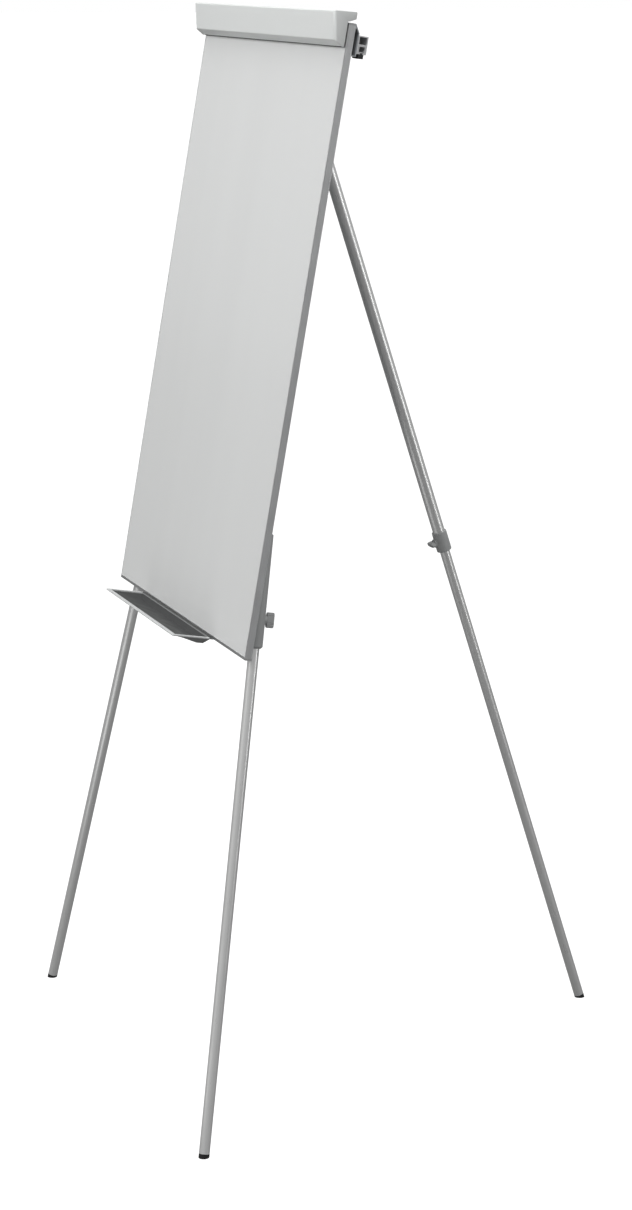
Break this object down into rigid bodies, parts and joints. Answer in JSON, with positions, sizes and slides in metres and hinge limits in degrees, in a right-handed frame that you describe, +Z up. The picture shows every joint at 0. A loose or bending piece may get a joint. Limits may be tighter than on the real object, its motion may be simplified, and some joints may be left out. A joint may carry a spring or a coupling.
{
  "type": "tripod whiteboard easel",
  "caption": "Leaning whiteboard on a tripod of telescoping tubes, with a hinged pad clamp bar, a pen tray, a folding rear leg and pull-out display arms.",
  "frame": {"origin": "on the floor, under the middle of the easel's bounding box", "axes": "+X across the board to the reader's right, +Y back towards the rear leg, +Z up"},
  "size_m": [0.9412, 0.9268, 1.8504],
  "materials": {
    "writing_face": "gloss",
    "core": "matte",
    "backing": "satin",
    "edge_trim": "satin",
    "bar_plastic": "satin",
    "grip_rubber": "matte",
    "plated_steel": "satin",
    "rail_metal": "satin",
    "carrier_metal": "satin",
    "dark_plastic": "matte",
    "grey_plastic": "satin",
    "tube_steel": "polished",
    "insert_brass": "satin",
    "foot_rubber": "matte",
    "tray_plastic": "satin"
  },
  "bodies": {
    "easel": {"writing_sheet": "writing_face", "board_core": "core", "backing_sheet": "backing", "edge_trim_left": "edge_trim", "edge_trim_right": "edge_trim", "edge_trim_top": "edge_trim", "edge_trim_bottom": "edge_trim", "hinge_lug_left": "plated_steel", "hinge_lug_right": "plated_steel", "hinge_screws": "plated_steel", "peg_rail_screws": "plated_steel", "rail_spacers": "plated_steel", "rail_screws": "plated_steel", "board_screws": "plated_steel", "beam_screws": "plated_steel", "bracket_screws": "plated_steel", "pivot_pin": "plated_steel", "pivot_clip": "plated_steel", "pivot_bracket": "plated_steel", "head_beam": "plated_steel", "tray_screws": "plated_steel", "peg_rail": "rail_metal", "display_rail": "rail_metal", "rail_carrier": "carrier_metal", "pivot_washers": "dark_plastic", "leg_sleeve_left": "grey_plastic", "leg_sleeve_right": "grey_plastic", "leg_socket_left": "grey_plastic", "leg_socket_right": "grey_plastic", "front_leg_tube_left": "tube_steel", "front_leg_tube_right": "tube_steel", "sleeve_inserts": "insert_brass", "tray": "tray_plastic"},
    "clamp": {"clamp_bar": "bar_plastic", "clamp_cap_left": "bar_plastic", "clamp_cap_right": "bar_plastic", "clamp_grip_strip": "grip_rubber", "clamp_hinge_pins": "plated_steel"},
    "peg_l": {"peg_left": "dark_plastic"},
    "peg_r": {"peg_right": "dark_plastic"},
    "arm_l": {"display_arm_left": "rail_metal", "arm_clip_left": "dark_plastic"},
    "arm_r": {"display_arm_right": "rail_metal", "arm_clip_right": "dark_plastic"},
    "rear_leg": {"rear_leg_cap": "grey_plastic", "rear_leg_tube": "tube_steel", "rear_leg_collar": "grey_plastic", "collar_insert": "insert_brass"},
    "lower_l": {"lower_leg_left": "tube_steel", "lower_bush_left": "dark_plastic", "foot_left": "foot_rubber"},
    "lower_r": {"lower_leg_right": "tube_steel", "lower_bush_right": "dark_plastic", "foot_right": "foot_rubber"},
    "lower_b": {"lower_leg_rear": "tube_steel", "lower_bush_rear": "dark_plastic", "foot_rear": "foot_rubber"},
    "wing_l": {"wing_screw_left": "grey_plastic"},
    "wing_r": {"wing_screw_right": "grey_plastic"},
    "wing_b": {"wing_screw_rear": "grey_plastic"}
  },
  "joints": [
    {"name": "clamp_hinge", "type": "hinge", "parent": "easel", "child": "clamp", "pos_m": [0, -0.15136, 1.83981], "axis": [-1, 0, 0], "range_deg": [0, 80]},
    {"name": "rear_leg_fold", "type": "hinge", "parent": "easel", "child": "rear_leg", "pos_m": [0, -0.11385, 1.74732], "axis": [-1, 0, 0], "range_deg": [0, 28]},
    {"name": "peg_l_slide", "type": "slide", "parent": "easel", "child": "peg_l", "axis": [-1, 0, 0], "range_m": [-0.1, 0.075]},
    {"name": "arm_l_slide", "type": "slide", "parent": "easel", "child": "arm_l", "axis": [-1, 0, 0], "range_m": [0, 0.24]},
    {"name": "leg_l_slide", "type": "slide", "parent": "easel", "child": "lower_l", "axis": [0.1783, 0.172, 0.9688], "range_m": [0, 0.78]},
    {"name": "wing_l_turn", "type": "hinge", "parent": "easel", "child": "wing_l", "pos_m": [-0.30237, -0.28691, 0.86202], "axis": [0, 0.9846, -0.1749], "range_deg": [0, 270]},
    {"name": "peg_r_slide", "type": "slide", "parent": "easel", "child": "peg_r", "axis": [1, 0, 0], "range_m": [-0.1, 0.075]},
    {"name": "arm_r_slide", "type": "slide", "parent": "easel", "child": "arm_r", "axis": [1, 0, 0], "range_m": [0, 0.24]},
    {"name": "leg_r_slide", "type": "slide", "parent": "easel", "child": "lower_r", "axis": [-0.1783, 0.172, 0.9688], "range_m": [0, 0.78]},
    {"name": "wing_r_turn", "type": "hinge", "parent": "easel", "child": "wing_r", "pos_m": [0.30237, -0.28691, 0.86202], "axis": [0, 0.9846, -0.1749], "range_deg": [0, 270]},
    {"name": "leg_b_slide", "type": "slide", "parent": "rear_leg", "child": "lower_b", "axis": [0, -0.309, 0.9511], "range_m": [0, 0.715]},
    {"name": "wing_b_turn", "type": "hinge", "parent": "rear_leg", "child": "wing_b", "pos_m": [0, 0.14673, 0.90166], "axis": [0, -0.9511, -0.309], "range_deg": [0, 270]}
  ]
}
